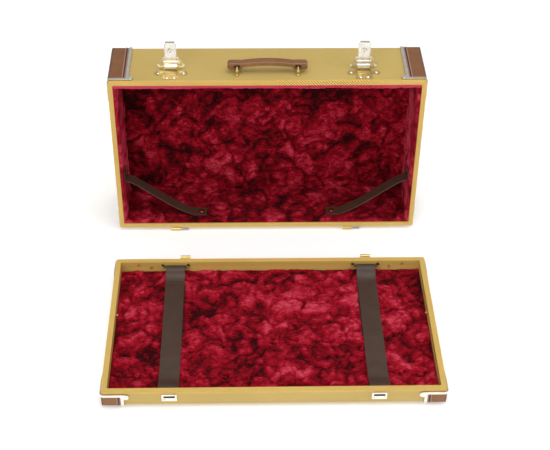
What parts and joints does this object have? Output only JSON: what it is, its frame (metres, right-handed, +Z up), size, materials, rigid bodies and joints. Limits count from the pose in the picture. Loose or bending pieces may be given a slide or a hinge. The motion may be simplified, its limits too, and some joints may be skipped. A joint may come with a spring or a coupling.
{
  "type": "guitar case",
  "caption": "Tweed-covered two-part carrying case: plush-lined cover lifted off its flat base tray, with latches, handle, lift-off hinges and tie straps.",
  "frame": {"origin": "centre of the whole object's box on the plane the case stands on", "axes": "+X along the case's width, to the right when facing the opening; -Y the way the cover's opening faces; +Z up. The base tray lies in front (-Y), the lifted-off cover stands behind it (+Y) on its hinge side"},
  "size_m": [0.6226, 0.6278, 0.4275],
  "materials": {
    "plywood": "raw birch ply, seen only inside joints",
    "tweed": "golden tweed covering, fine diagonal weave with a lacquered look",
    "edge_binding": "brighter golden woven edging over the rims",
    "plush": "crimson crushed plush, deep pile",
    "corner_leather": "smooth brown leather corner caps with a stitched piping",
    "handle_leather": "brown handle leather, lighter cut edge",
    "strap_leather": "dark brown strap leather, matt",
    "nickel_trim": "bright nickel plate",
    "brass": "polished brass plate",
    "hinge_steel": "plain steel",
    "dark_wire": "dark bronzed wire",
    "zinc_screws": "zinc-plated steel",
    "copper_cap": "dark copper snap cap",
    "foot_rubber": "black rubber"
  },
  "bodies": {
    "base": {"base_panel": "plywood", "base_front_wall": "plywood", "base_back_wall": "plywood", "base_left_wall": "plywood", "base_right_wall": "plywood", "base_tweed_skin": "tweed", "base_rim_binding": "edge_binding", "base_side_lining": "tweed", "base_plush_pad": "plush", "base_corner_leathers": "corner_leather", "base_corner_trims": "nickel_trim", "base_corner_rivets": "nickel_trim", "base_strikes": "nickel_trim", "base_strike_rivets": "nickel_trim", "base_hinge_leaves": "brass", "base_hinge_screws": "brass", "left_tie_strap": "strap_leather", "right_tie_strap": "strap_leather", "strap_wire_loops": "dark_wire", "strap_loop_screws": "brass", "stay_studs": "brass", "base_feet": "foot_rubber", "base_foot_screws": "zinc_screws", "base_back_glides": "brass"},
    "hinge_sockets": {"hinge_socket_tubes": "hinge_steel"},
    "cover": {"cover_panel": "plywood", "cover_handle_wall": "plywood", "cover_hinge_wall": "plywood", "cover_left_wall": "plywood", "cover_right_wall": "plywood", "cover_tweed_skin": "tweed", "cover_rim_binding": "edge_binding", "cover_side_lining": "plush", "cover_panel_lining": "plush", "cover_corner_leathers": "corner_leather", "cover_corner_trims": "nickel_trim", "cover_corner_rivets": "nickel_trim", "cover_hinge_leaves": "brass", "cover_hinge_pins": "hinge_steel", "cover_hinge_screws": "brass", "left_stay_strap": "strap_leather", "right_stay_strap": "strap_leather", "stay_strap_rivets": "brass", "stay_snap_caps": "copper_cap", "cover_glides": "brass", "handle_loops": "brass", "handle_loop_nuts": "zinc_screws", "latch_base_plates": "brass", "latch_rivets": "nickel_trim", "latch_pivot_pins": "hinge_steel"},
    "handle": {"handle_strap": "handle_leather"},
    "left_hasp_plate": {"left_hasp": "nickel_trim", "left_lever_pin": "hinge_steel"},
    "left_latch_lever": {"left_lever": "nickel_trim"},
    "right_hasp_plate": {"right_hasp": "nickel_trim", "right_lever_pin": "hinge_steel"},
    "right_latch_lever": {"right_lever": "nickel_trim"}
  },
  "joints": [
    {"name": "cover_hinge", "type": "hinge", "parent": "base", "child": "hinge_sockets", "pos_m": [0.0025, 0.0507, 0.0402], "axis": [1, 0, 0], "range_deg": [0, 90]},
    {"name": "cover_lift_off", "type": "slide", "parent": "hinge_sockets", "child": "cover", "axis": [0.0362, -0.9651, 0.2594], "range_m": [0, 0.13802]},
    {"name": "handle_lift", "type": "slide", "parent": "cover", "child": "handle", "axis": [0, 0, 1], "range_m": [0, 0.003]},
    {"name": "left_hasp_swing", "type": "hinge", "parent": "cover", "child": "left_hasp_plate", "pos_m": [-0.188, 0.2281, 0.373], "axis": [1, 0, 0], "range_deg": [-75, 90]},
    {"name": "left_lever_flip", "type": "hinge", "parent": "left_hasp_plate", "child": "left_latch_lever", "pos_m": [-0.188, 0.2281, 0.383], "axis": [1, 0, 0], "range_deg": [-25, 0]},
    {"name": "right_hasp_swing", "type": "hinge", "parent": "cover", "child": "right_hasp_plate", "pos_m": [0.183, 0.2281, 0.373], "axis": [1, 0, 0], "range_deg": [-75, 90]},
    {"name": "right_lever_flip", "type": "hinge", "parent": "right_hasp_plate", "child": "right_latch_lever", "pos_m": [0.183, 0.2281, 0.383], "axis": [1, 0, 0], "range_deg": [-25, 0]}
  ]
}
